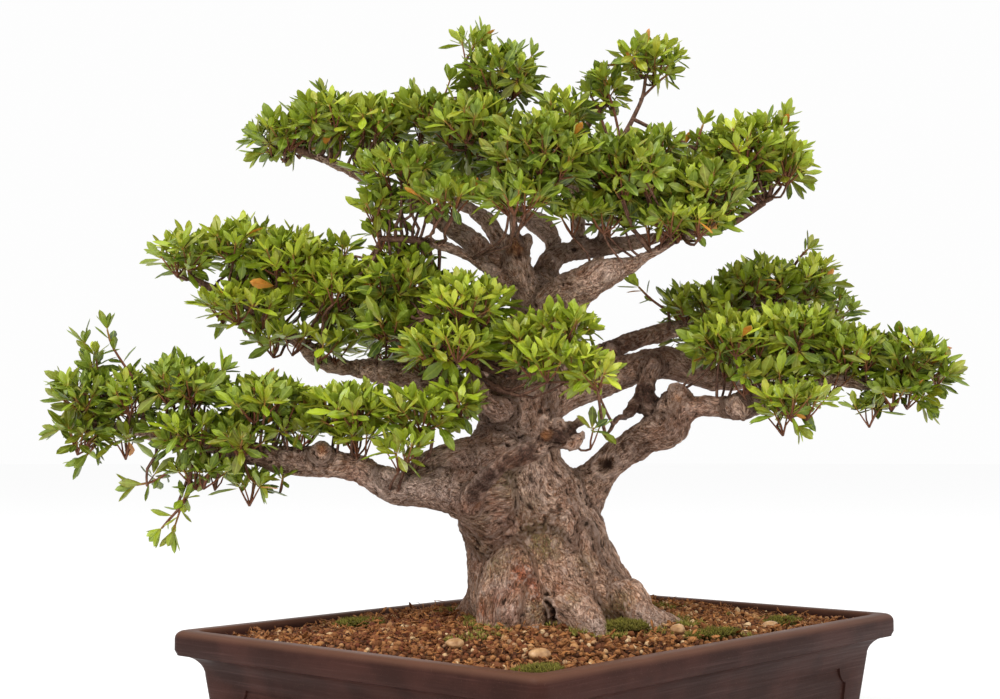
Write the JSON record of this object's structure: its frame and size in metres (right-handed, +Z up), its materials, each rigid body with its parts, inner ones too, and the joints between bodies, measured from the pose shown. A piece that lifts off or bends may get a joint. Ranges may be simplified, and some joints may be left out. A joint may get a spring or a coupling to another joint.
{
  "type": "bonsai tree",
  "caption": "Satsuki azalea bonsai with a thick flared trunk, spreading limbs and layered leaf pads, in a rectangular clay pot with a rim band, sunk side panels and corner feet.",
  "frame": {"origin": "middle of the pot's footprint, on the surface that the feet stand on", "axes": "+X along the pot's long sides, +Y along its short sides, +Z up; the tree's front looks towards -X -Y, over one corner of the pot"},
  "size_m": [0.6273, 0.5719, 0.6161],
  "materials": {
    "pot": "satin",
    "soil": "matte",
    "bark": "matte",
    "leaf": "satin",
    "moss": "matte",
    "pebble": "matte",
    "screen": "matte",
    "wire": "satin"
  },
  "bodies": {
    "root": {"anchor_wire": "wire", "drain_screen_left": "screen", "drain_screen_right": "screen", "foliage_back_low": "leaf", "foliage_centre_front": "leaf", "foliage_centre_left": "leaf", "foliage_centre_tuft": "leaf", "foliage_crown_back": "leaf", "foliage_crown_far_right": "leaf", "foliage_crown_front": "leaf", "foliage_crown_left": "leaf", "foliage_crown_lower_left": "leaf", "foliage_crown_middle_right": "leaf", "foliage_crown_right": "leaf", "foliage_crown_top_left": "leaf", "foliage_low_left_inner": "leaf", "foliage_low_left_middle": "leaf", "foliage_low_left_outer": "leaf", "foliage_low_left_shoot": "leaf", "foliage_low_left_tip": "leaf", "foliage_right_back": "leaf", "foliage_right_low": "leaf", "foliage_right_middle": "leaf", "foliage_right_outer": "leaf", "foliage_right_upper": "leaf", "foliage_top_spray": "leaf", "foliage_top_sprig": "leaf", "foliage_upper_left": "leaf", "foliage_upper_left_inner": "leaf", "foliage_upper_left_tip": "leaf", "moss_between_roots": "moss", "moss_front": "moss", "moss_left": "moss", "moss_right_end": "moss", "moss_right_root": "moss", "pebble_front": "pebble", "pebble_left": "pebble", "pebble_right": "pebble", "pebble_root": "pebble", "pot": "pot", "screen_clip_left": "wire", "screen_clip_right": "wire", "soil": "soil", "trunk_and_branches": "bark"}
  },
  "joints": []
}
